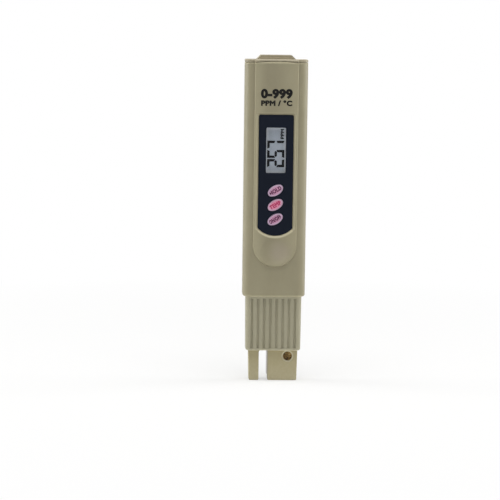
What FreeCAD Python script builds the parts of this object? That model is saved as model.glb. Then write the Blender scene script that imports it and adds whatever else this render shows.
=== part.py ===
"""Pen-shaped water tester: two-shell case, display and keys, battery cap with clip, ribbed probe head.

Millimetres. X runs across the case to the right, the display faces -Y, and Z runs up from the tips
of the two prongs. "Depth" is measured backwards from the front face of the raised tongue.
"""
import FreeCAD
import Part
import math
import os

V = FreeCAD.Vector
X_AXIS = V(1, 0, 0)
Y_AXIS = V(0, 1, 0)
Z_AXIS = V(0, 0, 1)

# ---------------------------------------------------------------- lengths, upwards from the tips
prong_length = 14.5
grip_length = 26.0
case_length = 110.4
cap_band = 1.45
tab_height = 1.95

# ---------------------------------------------------------------- case section
case_width = 29.6
body_depth = 14.0
wall = 1.4
front_corner = 4.0
rear_corner = 3.0
smallest_corner = 0.4
bottom_round = 1.0
cap_round = 0.45

# ---------------------------------------------------------------- raised tongue on the front
tongue_width = 20.7
tongue_rise = 0.9
tongue_flank = 0.35
tongue_round = 0.4
tongue_end_drop = 4.6
dish_radius = 6.4
dish_depth = 0.75
dish_drop = 2.8

# ---------------------------------------------------------------- pocket clip and its bridge on the cap
clip_reach = 7.0
clip_thickness = 1.8
clip_length = 46.0
clip_root_width = 12.0
clip_tip_width = 9.0
clip_root_radius = 1.1
clip_neck = 1.2
clip_rest_gap = 0.3
clip_shoulder = 2.2
clip_gaps = [(0.0, 1.7), (3.4, clip_rest_gap), (7.0, 1.2), (12.0, 2.8), (24.0, 4.0)]
hinge_gap = 0.06
hinge_wall = 1.0
tab_width = 18.4
tab_top_width = 14.4
tab_setback = 6.5
tab_round = 0.35

# ---------------------------------------------------------------- seam and fit between case and cap
seam_rise = 0.6
seam_arch_width = 19.6
seam_gap = 0.15
seam_bevel = 0.3
cap_leg_length = 5.0
cap_leg_wall = 1.2
cap_fit = 0.12
cap_plate = 1.0

# ---------------------------------------------------------------- joint between the two shells
lip_length = 1.0
lip_gap = 0.05
lip_end_gap = 0.5
seam_groove = 0.25
seam_groove_width = 0.3

# ---------------------------------------------------------------- panel overlay and its pocket
panel_width = 16.3
panel_drop = 24.3
panel_head = 6.0
panel_foot = 7.72
panel_arc_drop = 3.6
panel_corner = 0.9
panel_thickness = 0.35
panel_gap = 0.1
pocket_depth = 0.8
pocket_bevel = 0.7

# ---------------------------------------------------------------- display
window_width = 9.2
window_height = 21.2
window_corner = 0.5
lens_rim = 0.9
lens_gap = 0.05
glass_margin = 2.4
glass_thickness = 2.0
frame_wall = 1.4
frame_gap = 0.1
strip_width = 1.2
strip_end_gap = 0.5

# ---------------------------------------------------------------- keys and their switches
key_major = 7.8
key_minor = 4.6
key_tilt = 31.0
key_spacing = 1.722
key_drop = 8.32
key_top_depth = 0.05
key_round = 0.4
key_gap = 0.15
key_play = 0.1
key_flange = 0.3
key_flange_thickness = 0.6
key_travel = 0.35
switch_width = 6.0
switch_height = 3.6
switch_body = 2.9
plunger_radius = 1.05
plunger_gap = 0.05
plunger_reserve = 0.35
plunger_sink = 0.6

# ---------------------------------------------------------------- board and what it carries
board_thickness = 1.0
board_side_gap = 1.9
board_end_gap = 1.5
boss_radius = 2.1
boss_edge = 2.3
boss_inset = 4.0
screw_radius = 0.9
screw_gap = 0.05
screw_hole_gap = 0.15
screw_length = 4.2
screw_head_radius = 1.7
screw_head_height = 1.2
screw_slot = 0.5
screw_slot_length = 2.2
screw_slot_depth = 0.7
chip_size = 9.0
chip_height = 1.5
chip_legs = 8
chip_leg_pitch = 1.0
chip_leg_width = 0.4
chip_leg_length = 0.8
chip_leg_thickness = 0.25
chip_to_trimmer = 4.95
crystal_length = 10.4
crystal_radius = 2.2
crystal_height = 3.4
small_part_size = (2.0, 0.7, 1.2)
small_part_pitch = 11.5
small_part_inset = 8.0
small_part_edge = 2.9

# ---------------------------------------------------------------- trimmer and its access hole
trimmer_drop = 8.3
trimmer_size = 6.5
rotor_radius = 2.0
rotor_gap = 0.05
rotor_height = 1.2
rotor_rise = 0.3
rotor_clearance = 0.3
rotor_slot = 0.6
rotor_slot_depth = 0.7
access_radius = 2.1

# ---------------------------------------------------------------- batteries and contacts
cell_radius = 5.8
cell_height = 5.4
cell_rim = 0.4
cell_lid_step = 0.8
cell_drop = 2.0
contact_thickness = 0.25
contact_width = 5.0
contact_pad = 2.8
contact_run_gap = 0.1
leaf_rise = 3.4
bay_clearance = 0.1
bay_side_gap = 0.8
holder_cheek = 1.65
holder_gap = 0.15
holder_floor = 2.4
holder_drop = 1.5
holder_to_board = 1.2

# ---------------------------------------------------------------- probe head
head_fit = 0.1
grip_draft = 0.22
plug_length = 11.8
groove_pitch = 2.93
groove_width = 1.05
groove_depth = 0.75
rib_crown = 0.22
collar_height = 1.2
lip_height = 1.15
grip_round = 0.8
head_wall = 1.7
head_floor = 2.8
bead_rise = 7.8
bead_height = 1.0
bead_depth = 0.45
bead_gap = 0.15
seal_rise = 3.8
seal_height = 1.6
seal_depth = 1.0
seal_gap = 0.03

# ---------------------------------------------------------------- prongs and electrodes
prong_inset = 1.35
left_prong_width = 5.05
prong_gap = 4.2
prong_depth = 6.4
prong_draft = 0.35
prong_round = 0.7
prong_bevel = 0.25
web_round = 1.2
electrode_thickness = 1.1
electrode_proud = 0.5
electrode_width = 4.4
electrode_end_height = 2.0
electrode_slant = 1.0
electrode_top_drop = 3.0
lead_radius = 0.4
lead_length = 6.0
lead_slope_height = 1.5

# ---------------------------------------------------------------- temperature sensor
sensor_from_side = 4.7
sensor_drop = 2.9
sensor_hole_radius = 2.15
sensor_mouth_radius = 3.0
sensor_mouth_depth = 0.7
sensor_back_wall = 1.4
sensor_bead_radius = 1.1
sensor_lead_radius = 0.3
sensor_lead_offset = 0.9
duct_radius = 1.7
resin_recess = 0.9
resin_gap = 0.02
resin_hollow = 0.35
resin_hollow_radius = 5.0
potting_height = 4.0

# ---------------------------------------------------------------- heights that follow
OVER = 1.0
FAR = 200.0
grip_bottom = prong_length
case_bottom = grip_bottom + grip_length
case_top = case_bottom + case_length
cap_top = case_top + cap_band
tab_top = cap_top + tab_height
plug_top = case_bottom + plug_length
cavity_floor = grip_bottom + head_floor
bead_z = case_bottom + bead_rise
seal_z = case_bottom + seal_rise
panel_top_z = case_top - panel_drop
display_z = panel_top_z - panel_head - window_height / 2.0
tilt = math.radians(key_tilt)
key_half_height = 1 / math.hypot(math.sin(tilt) / (key_major / 2.0), math.cos(tilt) / (key_minor / 2.0))
key_pitch = 2 * key_half_height + key_spacing
top_key_z = display_z - window_height / 2.0 - key_drop
middle_key_z = top_key_z - key_pitch
key_zs = {"hold": top_key_z, "temp": middle_key_z, "power": middle_key_z - key_pitch}
panel_bottom_z = key_zs["power"] - panel_foot
tongue_end_z = panel_bottom_z - tongue_end_drop
cell_z = case_top - cell_drop - cell_radius
holder_bottom = cell_z - cell_radius - holder_gap - holder_floor
board_bottom_z = plug_top + board_end_gap
board_top_z = holder_bottom - holder_to_board
hinge_z = tab_top - hinge_wall - clip_root_radius - hinge_gap
clip_tip_z = hinge_z - clip_length
trimmer_z = clip_tip_z - trimmer_drop
chip_z = trimmer_z - trimmer_size / 2.0 - chip_to_trimmer - chip_leg_length - chip_size / 2.0
electrode_top_z = plug_top - electrode_top_drop
lead_top_z = electrode_top_z + lead_length
sensor_z = grip_bottom - sensor_drop

# ---------------------------------------------------------------- depths that follow
front_y = -(body_depth + clip_reach) / 2.0
inner_depth = tongue_rise + wall
rear_inner_depth = body_depth - wall
middle_depth = (tongue_rise + body_depth) / 2.0
plunger_top = inner_depth + key_play + key_flange_thickness
switch_front = plunger_top + key_travel + plunger_reserve
board_depth = switch_front + switch_body
board_back = board_depth + board_thickness
trimmer_back = rear_inner_depth - rotor_clearance - rotor_rise
cell_stack = 2 * cell_height
bay_wall = (body_depth - cell_stack - 2 * contact_thickness - bay_clearance) / 2.0
cells_front = (body_depth - cell_stack) / 2.0
hinge_depth = body_depth + clip_rest_gap / 2 + hinge_wall + hinge_gap + clip_root_radius
head_inset = wall + head_fit
prong_near = middle_depth - prong_depth / 2.0
prong_far = middle_depth + prong_depth / 2.0
sensor_hole_depth = prong_depth - sensor_back_wall
lead_depth = board_back + lead_radius + resin_gap

# ---------------------------------------------------------------- widths that follow
board_width = case_width - 2 * wall - 2 * board_side_gap
boss_x = board_width / 2.0 - boss_edge
screw_places = [(x, z) for x in (-boss_x, boss_x)
                for z in (board_bottom_z + boss_inset, board_top_z - boss_inset)]
glass_half_x = window_width / 2.0 + glass_margin
glass_half_z = window_height / 2.0 + glass_margin
holder_half = cell_radius + holder_gap + holder_cheek
bay_half = cell_radius + bay_side_gap
head_half = case_width / 2.0 - head_inset
head_corner = front_corner - head_inset
groove_count = int((2 * head_half - 2 * head_corner) / groove_pitch) + 1
right_outer = head_half - grip_draft - prong_inset
left_outer = -right_outer
left_inner = left_outer + left_prong_width
right_inner = left_inner + prong_gap
sensor_x = right_outer - sensor_from_side


# ================================================================ small tools
def y_at(depth):
    """The Y that lies this deep behind the front face of the tongue."""
    return front_y + depth


def box(x0, x1, depth0, depth1, z0, z1):
    """A box between two X, two depths and two heights."""
    return Part.makeBox(x1 - x0, depth1 - depth0, z1 - z0, V(x0, y_at(depth0), z0))


def slab(depth0, depth1):
    """Everything between two depths."""
    return box(-FAR, FAR, depth0, depth1, -FAR, FAR)


def cylinder_y(radius, x, z, depth0, depth1):
    """A round bar that runs backwards."""
    return Part.makeCylinder(radius, depth1 - depth0, V(x, y_at(depth0), z), Y_AXIS)


def cylinder_x(radius, depth, z, x0, x1):
    """A round bar that runs across the case."""
    return Part.makeCylinder(radius, x1 - x0, V(x0, y_at(depth), z), X_AXIS)


def cylinder_z(radius, x, depth, z0, z1):
    """A round bar that stands upright."""
    return Part.makeCylinder(radius, z1 - z0, V(x, y_at(depth), z0), Z_AXIS)


def join(shapes):
    """One shape from several that touch or overlap, with no leftover seams."""
    return shapes[0].fuse(list(shapes[1:])).removeSplitter()


def line(start, end):
    return Part.LineSegment(start, end).toShape()


def arc(start, middle, end):
    return Part.Arc(start, middle, end).toShape()


def edges_at_z(shape, z):
    """The edges that lie level at one height."""
    return [edge for edge in shape.Edges if max(abs(edge.BoundBox.ZMin - z), abs(edge.BoundBox.ZMax - z)) < 0.01]


def edges_at_depth(shape, depth):
    """The edges that lie flat at one depth."""
    y = y_at(depth)
    return [edge for edge in shape.Edges if max(abs(edge.BoundBox.YMin - y), abs(edge.BoundBox.YMax - y)) < 0.01]


def edges_along(shape, axis):
    """The straight edges that run along one axis."""
    found = []
    for edge in shape.Edges:
        start, end = edge.Vertexes[0].Point, edge.Vertexes[-1].Point
        if (end - start).Length > 0.01 and abs(abs((end - start).normalize().dot(axis)) - 1) < 1e-6:
            found.append(edge)
    return found


def section_wire(inset, z):
    """The case's outline at one height: a rectangle with round corners, drawn in by an inset."""
    half = case_width / 2 - inset
    front = y_at(tongue_rise + inset)
    rear = y_at(body_depth - inset)
    radius_front = max(front_corner - inset, smallest_corner)
    radius_rear = max(rear_corner - inset, smallest_corner)
    corners = [(-half, front, radius_front, 180), (half, front, radius_front, 270),
               (half, rear, radius_rear, 0), (-half, rear, radius_rear, 90)]
    arcs = []
    for x, y, radius, start_angle in corners:
        centre = V(x - math.copysign(radius, x), y + math.copysign(radius, y_at(middle_depth) - y), z)
        points = []
        for turn in (0, 45, 90):
            angle = math.radians(start_angle + turn)
            points.append(centre + V(radius * math.cos(angle), radius * math.sin(angle), 0))
        arcs.append(points)
    edges = []
    for index, points in enumerate(arcs):
        edges.append(arc(*points))
        edges.append(line(points[2], arcs[(index + 1) % len(arcs)][0]))
    return Part.Wire(edges)


def case_block(inset, z0, z1):
    """A straight bar with the case's section, drawn in by an inset."""
    return Part.Face(section_wire(inset, z0)).extrude(V(0, 0, z1 - z0))


def outline_prism(points, depth0, depth1):
    """A straight-sided outline in X and Z, thickened backwards."""
    corners = [V(x, y_at(depth0), z) for x, z in points]
    face = Part.Face(Part.makePolygon(corners + corners[:1]))
    return face.extrude(V(0, depth1 - depth0, 0))


def rounded_plate(width, height, corner, z, depth0, depth1):
    """A rectangular plate that faces forwards, with round corners."""
    plate = box(-width / 2, width / 2, depth0, depth1, z - height / 2, z + height / 2)
    return plate.makeFillet(corner, edges_along(plate, Y_AXIS))


def key_prism(grow, depth0, depth1, z):
    """A tilted oval bar that runs backwards, as wide as a key grown by an amount."""
    ellipse = Part.Ellipse(V(0, 0, 0), key_major / 2 + grow, key_minor / 2 + grow)
    bar = Part.Face(Part.Wire(ellipse.toShape())).extrude(V(0, 0, depth1 - depth0))
    bar.rotate(V(0, 0, 0), Z_AXIS, key_tilt)
    bar.rotate(V(0, 0, 0), X_AXIS, 90)
    bar.translate(V(0, y_at(depth1), z))
    return bar


# ================================================================ the outside of the body
def tongue_wire(half_width, depth):
    """The tongue's outline: straight sides that end in a half circle."""
    y = y_at(depth)
    left_top = V(-half_width, y, cap_top)
    left = V(-half_width, y, tongue_end_z)
    lowest = V(0, y, tongue_end_z - half_width)
    right = V(half_width, y, tongue_end_z)
    right_top = V(half_width, y, cap_top)
    return Part.Wire([line(left_top, left), arc(left, lowest, right), line(right, right_top),
                      line(right_top, left_top)])


def tongue_solid():
    """The raised tongue: sloping flanks, a softened rim and a root inside the block behind it."""
    foot = tongue_wire(tongue_width / 2, tongue_rise)
    crest = tongue_wire(tongue_width / 2 - tongue_flank, 0)
    raised = Part.makeLoft([foot, crest], True, True)
    root = Part.Face(foot).extrude(V(0, 2 * cap_round, 0))
    solid = join([raised, root])
    rim = [edge for edge in edges_at_depth(solid, 0) if edge.BoundBox.ZMin < cap_top - 0.01]
    solid = solid.makeFillet(tongue_round, rim)
    return solid.cut(front_bevel())


def front_bevel():
    """A wedge that takes the sharp front edge off the top of the tongue."""
    low = V(-case_width, y_at(-OVER), cap_top - cap_round - OVER)
    back = V(-case_width, y_at(cap_round + OVER), cap_top + OVER)
    high = V(-case_width, y_at(-OVER), cap_top + OVER)
    return Part.Face(Part.makePolygon([low, back, high, low])).extrude(V(2 * case_width, 0, 0))


def body_blank():
    """The whole outside of case and cap as one solid block."""
    block = case_block(0, case_bottom, cap_top)
    block = block.makeFillet(bottom_round, edges_at_z(block, case_bottom))
    block = block.makeFillet(cap_round, edges_at_z(block, cap_top))
    return join([block, tongue_solid()])


def seam_wire(offset, depth):
    """The arched seam between case and cap, raised by an offset, and closed far above the case."""
    z = case_top + offset
    half = seam_arch_width / 2
    y = y_at(depth)
    floor = [line(V(-FAR, y, z), V(-half, y, z)), arc(V(-half, y, z), V(0, y, z + seam_rise), V(half, y, z)),
             line(V(half, y, z), V(FAR, y, z))]
    sides = [line(V(FAR, y, z), V(FAR, y, z + FAR)), line(V(FAR, y, z + FAR), V(-FAR, y, z + FAR)),
             line(V(-FAR, y, z + FAR), V(-FAR, y, z))]
    return Part.Wire(floor + sides)


def above_seam(offset):
    """The space above the seam, raised by an offset."""
    return Part.Face(seam_wire(offset, -OVER)).extrude(V(0, FAR, 0))


def edge_bevels():
    """What the bevel along the case's top edge takes off: one piece for the block, one for the tongue."""
    z0 = case_top - seam_bevel - OVER
    taper = Part.makeLoft([section_wire(-OVER, z0), section_wire(seam_bevel, case_top)], True, True)
    core = join([taper, case_block(seam_bevel, case_top - seam_bevel, cap_top)])
    half = tongue_width / 2 + seam_bevel
    tongue_room = box(-half, half, -FAR, tongue_rise + 2 * cap_round, z0 - OVER, FAR)
    ring = case_block(-OVER / 2, z0 + OVER / 2, cap_top + OVER).cut([core, tongue_room])
    slope = Part.makeLoft([seam_wire(-seam_bevel - OVER, -OVER), seam_wire(0, seam_bevel)], True, True)
    return [ring, slope]


def case_tube():
    """The case before it is split: the blank below the seam, open at both ends, with a locking bead."""
    tube = body_blank().cut([above_seam(0)] + edge_bevels())
    hollow = case_block(wall, case_bottom - OVER, cap_top + OVER)
    front_bay = box(-bay_half, bay_half, bay_wall, middle_depth, board_top_z, cap_top + OVER)
    rear_bay = box(-bay_half, bay_half, middle_depth, body_depth - bay_wall, board_top_z, cap_top + OVER)
    bead = case_block(wall / 2, bead_z - bead_height / 2, bead_z + bead_height / 2)
    bead = bead.cut(case_block(wall + bead_depth, bead_z - bead_height, bead_z + bead_height))
    return join([tube.cut([hollow, front_bay, rear_bay]), bead])


def side_strips(inset0, inset1, depth0, depth1):
    """Two long strips within the thickness of the side walls."""
    z0 = case_bottom + bottom_round + lip_end_gap
    z1 = case_top - lip_end_gap
    ring = case_block(inset0, z0, z1).cut(case_block(inset1, z0 - OVER, z1 + OVER))
    return ring.common(slab(depth0, depth1))


# ================================================================ panel and case shells
def panel_wire(grow, depth):
    """The overlay's outline: straight sides, round top corners and an arched lower end."""
    half = panel_width / 2 + grow
    top = panel_top_z + grow
    low = panel_bottom_z - grow
    shoulder = low + panel_arc_drop
    inside = panel_corner * (1 - math.sqrt(0.5))
    y = y_at(depth)
    return Part.Wire([
        line(V(-half, y, top - panel_corner), V(-half, y, shoulder)),
        arc(V(-half, y, shoulder), V(0, y, low), V(half, y, shoulder)),
        line(V(half, y, shoulder), V(half, y, top - panel_corner)),
        arc(V(half, y, top - panel_corner), V(half - inside, y, top - inside), V(half - panel_corner, y, top)),
        line(V(half - panel_corner, y, top), V(-half + panel_corner, y, top)),
        arc(V(-half + panel_corner, y, top), V(-half + inside, y, top - inside), V(-half, y, top - panel_corner)),
    ])


def panel_prism(grow, depth0, depth1):
    """The overlay's outline thickened backwards."""
    return Part.Face(panel_wire(grow, depth0)).extrude(V(0, depth1 - depth0, 0))


def pocket_rim():
    """The bevel round the overlay's pocket."""
    wide = panel_wire(panel_gap + pocket_bevel, 0)
    narrow = panel_wire(panel_gap, pocket_bevel)
    return Part.makeLoft([wide, narrow], True, True)


def thumb_dish():
    """A ball that leaves a shallow dish in the tongue's round end."""
    ball_radius = (dish_radius ** 2 + dish_depth ** 2) / (2 * dish_depth)
    return Part.makeSphere(ball_radius, V(0, y_at(dish_depth - ball_radius), tongue_end_z - dish_drop))


def boss(x, z):
    """A hollow post on the front shell that takes one board screw."""
    post = cylinder_y(boss_radius, x, z, inner_depth - wall / 2, board_depth)
    hole = cylinder_y(screw_radius + screw_gap, x, z, inner_depth, board_depth + OVER)
    return post.cut(hole)


def lens_plate(gap, depth0, depth1):
    """The window's lens, or the hole that it fits, grown by a gap."""
    return rounded_plate(window_width + 2 * (lens_rim + gap), window_height + 2 * (lens_rim + gap),
                         window_corner + lens_rim, display_z, depth0, depth1)


def front_case():
    """The front shell: tongue, overlay pocket, window and key holes, rebate for the rear shell's lip."""
    shell = case_tube().common(slab(-OVER, middle_depth))
    rebate = side_strips(wall / 2, wall + lip_gap, middle_depth - lip_length - lip_gap, middle_depth + OVER)
    outside = case_block(-OVER, case_bottom - OVER, cap_top + OVER)
    groove = outside.cut(case_block(seam_groove, case_bottom - 2 * OVER, cap_top + 2 * OVER))
    groove = groove.common(slab(middle_depth - seam_groove_width, middle_depth + OVER))
    cutters = [panel_prism(panel_gap, -OVER, pocket_depth), pocket_rim(), thumb_dish(),
               lens_plate(lens_gap, -OVER, inner_depth + OVER), rebate, groove]
    cutters += [key_prism(key_gap, -OVER, inner_depth + OVER, z) for z in key_zs.values()]
    return join([shell.cut(cutters)] + [boss(x, z) for x, z in screw_places])


def rear_case():
    """The rear shell with its lip and the hole over the trimmer."""
    shell = case_tube().common(slab(middle_depth, body_depth + OVER))
    lip = side_strips(wall / 2 + lip_gap, wall, middle_depth - lip_length, middle_depth + lip_gap)
    return join([shell, lip]).cut(cylinder_y(access_radius, 0, trimmer_z, middle_depth, body_depth + OVER))


def panel_overlay():
    """The printed sheet in the tongue's pocket, with a window and three key holes."""
    sheet = panel_prism(0, pocket_depth - panel_thickness, pocket_depth)
    window = rounded_plate(window_width, window_height, window_corner, display_z, 0, pocket_depth + OVER)
    return sheet.cut([window] + [key_prism(key_gap, 0, pocket_depth + OVER, z) for z in key_zs.values()])


# ================================================================ display
def display_window():
    """The clear lens in the case, behind the overlay's window."""
    return lens_plate(0, pocket_depth, inner_depth)


def lcd_glass():
    """Two glass plates: the rear one is wider, so that its edges reach the contact strips."""
    split = inner_depth + glass_thickness / 2
    front_half = glass_half_x - strip_width
    front = box(-front_half, front_half, inner_depth, split, display_z - glass_half_z, display_z + glass_half_z)
    rear = box(-glass_half_x, glass_half_x, split, inner_depth + glass_thickness,
               display_z - glass_half_z, display_z + glass_half_z)
    return join([front, rear])


def lcd_frame():
    """The moulded frame round the glass, standing on the board."""
    outer_x = glass_half_x + frame_gap + frame_wall
    outer_z = glass_half_z + frame_gap + frame_wall
    outer = box(-outer_x, outer_x, inner_depth, board_depth, display_z - outer_z, display_z + outer_z)
    outer = outer.makeFillet(frame_wall, edges_along(outer, Y_AXIS))
    well_x = glass_half_x + frame_gap
    well_z = glass_half_z + frame_gap
    well = box(-well_x, well_x, inner_depth - OVER, inner_depth + glass_thickness,
               display_z - well_z, display_z + well_z)
    floor_x = glass_half_x - strip_width - frame_gap
    slots = [box(floor_x, well_x, inner_depth, board_depth + OVER, display_z - well_z, display_z + well_z),
             box(-well_x, -floor_x, inner_depth, board_depth + OVER, display_z - well_z, display_z + well_z)]
    hollow = box(-floor_x + frame_wall, floor_x - frame_wall, inner_depth, board_depth + OVER,
                 display_z - glass_half_z + frame_wall, display_z + glass_half_z - frame_wall)
    return outer.cut([well, hollow] + slots)


def contact_strips():
    """The two rubber strips that carry the display's lines to the board."""
    half_z = glass_half_z - strip_end_gap
    strips = [box(x0, x0 + strip_width, inner_depth + glass_thickness, board_depth,
                  display_z - half_z, display_z + half_z)
              for x0 in (-glass_half_x, glass_half_x - strip_width)]
    return Part.makeCompound(strips)


# ================================================================ keys and switches
def key(z):
    """A tilted oval key with a softened edge and a flange behind the case wall."""
    cap = key_prism(0, key_top_depth, plunger_top, z)
    cap = cap.makeFillet(key_round, edges_at_depth(cap, key_top_depth))
    return join([cap, key_prism(key_flange, plunger_top - key_flange_thickness, plunger_top, z)])


def plunger(z):
    """The switch's button, which the key pushes."""
    return cylinder_y(plunger_radius, 0, z, plunger_top, switch_front + plunger_sink)


def key_switches():
    """Three switch bodies on the board, each with a round well for its button."""
    bodies = []
    well_end = switch_front + plunger_sink + key_travel + plunger_reserve
    for z in key_zs.values():
        body = box(-switch_width / 2, switch_width / 2, switch_front, board_depth,
                   z - switch_height / 2, z + switch_height / 2)
        bodies.append(body.cut(cylinder_y(plunger_radius + plunger_gap, 0, z, switch_front - OVER, well_end)))
    return Part.makeCompound(bodies)


# ================================================================ board
def main_board():
    """The circuit board, held by four screws."""
    board = box(-board_width / 2, board_width / 2, board_depth, board_back, board_bottom_z, board_top_z)
    return board.cut([cylinder_y(screw_radius + screw_hole_gap, x, z, board_depth - OVER, board_back + OVER)
                      for x, z in screw_places])


def board_screws():
    """Four cross-slotted screws through the board into the front shell's posts."""
    screws = []
    top = board_back + screw_head_height
    long_half = screw_slot_length / 2
    thin_half = screw_slot / 2
    for x, z in screw_places:
        head = cylinder_y(screw_head_radius, x, z, board_back, top)
        head = head.makeChamfer(screw_head_height / 3, edges_at_depth(head, top))
        shank = cylinder_y(screw_radius, x, z, board_back - screw_length, board_back)
        cross = [box(x - half_x, x + half_x, top - screw_slot_depth, top + OVER, z - half_z, z + half_z)
                 for half_x, half_z in ((long_half, thin_half), (thin_half, long_half))]
        screws.append(join([head, shank]).cut(cross))
    return Part.makeCompound(screws)


def controller_chip():
    """A flat square package with a row of legs on each side."""
    half = chip_size / 2
    reach = half + chip_leg_length
    body = box(-half, half, board_back + chip_leg_thickness / 2, board_back + chip_height,
               chip_z - half, chip_z + half)
    legs = []
    for index in range(chip_legs):
        near = (index - (chip_legs - 1) / 2) * chip_leg_pitch - chip_leg_width / 2
        far = near + chip_leg_width
        foot = board_back + chip_leg_thickness
        legs.append(box(-reach, reach, board_back, foot, chip_z + near, chip_z + far))
        legs.append(box(near, far, board_back, foot, chip_z - reach, chip_z + reach))
    return join([body] + legs)


def crystal():
    """A small round-ended can on the back of the board, behind the display."""
    z = display_z + crystal_radius
    straight = crystal_length / 2 - crystal_radius
    top = board_back + crystal_height
    middle = box(-straight, straight, board_back, top, z - crystal_radius, z + crystal_radius)
    ends = [cylinder_y(crystal_radius, x, z, board_back, top) for x in (-straight, straight)]
    return join([middle] + ends)


def board_components():
    """Small resistors and capacitors in two columns on the back of the board."""
    width, height, length = small_part_size
    first = board_bottom_z + small_part_inset
    rows = int((board_top_z - small_part_inset - first) / small_part_pitch) + 1
    column = board_width / 2 - small_part_edge
    parts = []
    for row in range(rows):
        z = first + row * small_part_pitch
        for x in (-column, column):
            parts.append(box(x - width / 2, x + width / 2, board_back, board_back + height,
                             z - length / 2, z + length / 2))
    return Part.makeCompound(parts)


def trimmer_body():
    """The trimmer's square base with the round well that its rotor turns in."""
    half = trimmer_size / 2
    base = box(-half, half, board_back, trimmer_back, trimmer_z - half, trimmer_z + half)
    well_floor = trimmer_back + rotor_rise - rotor_height
    return base.cut(cylinder_y(rotor_radius + rotor_gap, 0, trimmer_z, well_floor, trimmer_back + OVER))


def trimmer_rotor():
    """The slotted disc that a screwdriver turns through the hole in the rear shell."""
    top = trimmer_back + rotor_rise
    disc = cylinder_y(rotor_radius, 0, trimmer_z, top - rotor_height + rotor_gap, top)
    slot = box(-rotor_radius - OVER, rotor_radius + OVER, top - rotor_slot_depth, top + OVER,
               trimmer_z - rotor_slot / 2, trimmer_z + rotor_slot / 2)
    return disc.cut(slot)


# ================================================================ batteries
def button_cells():
    """Two button cells, one behind the other, each with its narrower lid to the front."""
    cells = []
    for index in range(2):
        front = cells_front + index * cell_height
        rear = front + cell_height
        can = cylinder_y(cell_radius, 0, cell_z, front + cell_rim, rear)
        can = can.makeChamfer(cell_rim, edges_at_depth(can, rear))
        lid = cylinder_y(cell_radius - cell_lid_step, 0, cell_z, front, front + cell_rim)
        cells.append(join([can, lid]))
    return Part.makeCompound(cells)


def battery_holder():
    """A cradle with a round seat for the cells, open at the top, and a slot for each contact's leaf."""
    seat = cell_radius + holder_gap
    front = inner_depth + holder_gap
    rear = rear_inner_depth - holder_gap
    top = cell_z + cell_radius - holder_drop
    block = box(-holder_half, holder_half, front, rear, holder_bottom, top)
    hole = cylinder_y(seat, 0, cell_z, front - OVER, rear + OVER)
    mouth = box(-seat, seat, front - OVER, rear + OVER, cell_z, top + OVER)
    slot_half = contact_width / 2 + holder_gap
    slots = [box(-slot_half, slot_half, -OVER, cells_front + holder_gap, holder_bottom - OVER, top + OVER),
             box(-slot_half, slot_half, cells_front + cell_stack - holder_gap, body_depth,
                 holder_bottom - OVER, top + OVER)]
    return block.cut([hole, mouth] + slots)


def contact(leaf_depth, pad_depth):
    """A bent strip: a leaf on a cell, a run under the holder and a pad on the board."""
    half = contact_width / 2
    run_z = board_top_z + contact_run_gap
    run_top = run_z + contact_thickness
    leaf = box(-half, half, leaf_depth, leaf_depth + contact_thickness, run_z, cell_z + leaf_rise)
    pad = box(-half, half, pad_depth, pad_depth + contact_thickness, run_z - contact_pad, run_top)
    run = box(-half, half, min(leaf_depth, pad_depth), max(leaf_depth, pad_depth) + contact_thickness,
              run_z, run_top)
    return join([leaf, run, pad])


def front_contact():
    """The contact on the front cell's lid, soldered to the front of the board."""
    return contact(cells_front - contact_thickness, board_depth - contact_thickness)


def rear_contact():
    """The contact on the rear cell's can, soldered to the back of the board."""
    return contact(cells_front + cell_stack, board_back)


# ================================================================ battery cap and clip
def tab_block():
    """The clip's bridge: a trapezoid ridge on the cap that overhangs the back of the case."""
    rear = hinge_depth + clip_root_radius / 2
    foot = tab_width / 2
    top = tab_top_width / 2
    ridge = outline_prism([(-foot, cap_top), (foot, cap_top), (top, tab_top), (-top, tab_top)],
                          tongue_rise + tab_setback, rear)
    ridge = ridge.makeFillet(tab_round, edges_at_z(ridge, tab_top))
    bearing_bottom = hinge_z - clip_root_radius - hinge_gap - hinge_wall
    bearing = box(-top, top, body_depth + clip_rest_gap / 2, rear, bearing_bottom, cap_top)
    web = box(-top, top, rear_inner_depth, rear, case_top + seam_gap + seam_rise, cap_top)
    return join([ridge, bearing, web])


def battery_cap():
    """The cap that closes the case's top end: band, two legs inside the case and the clip's bridge."""
    band = body_blank().common(above_seam(seam_gap))
    leg_bottom = case_top - cap_leg_length
    leg_top = case_top + cap_band / 2
    outside = wall + cap_fit
    legs = case_block(outside, leg_bottom, leg_top)
    legs = legs.cut(case_block(outside + cap_leg_wall, leg_bottom - OVER, leg_top + OVER))
    clear_half = holder_half + cap_leg_wall / 2
    legs = legs.cut(box(-clear_half, clear_half, -OVER, body_depth + OVER, leg_bottom - OVER, leg_top + OVER))
    socket_half = clip_root_width / 2 + clip_rest_gap / 2
    socket = cylinder_x(clip_root_radius + hinge_gap, hinge_depth, hinge_z, -socket_half, socket_half)
    return join([band, legs, tab_block()]).cut(socket)


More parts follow.
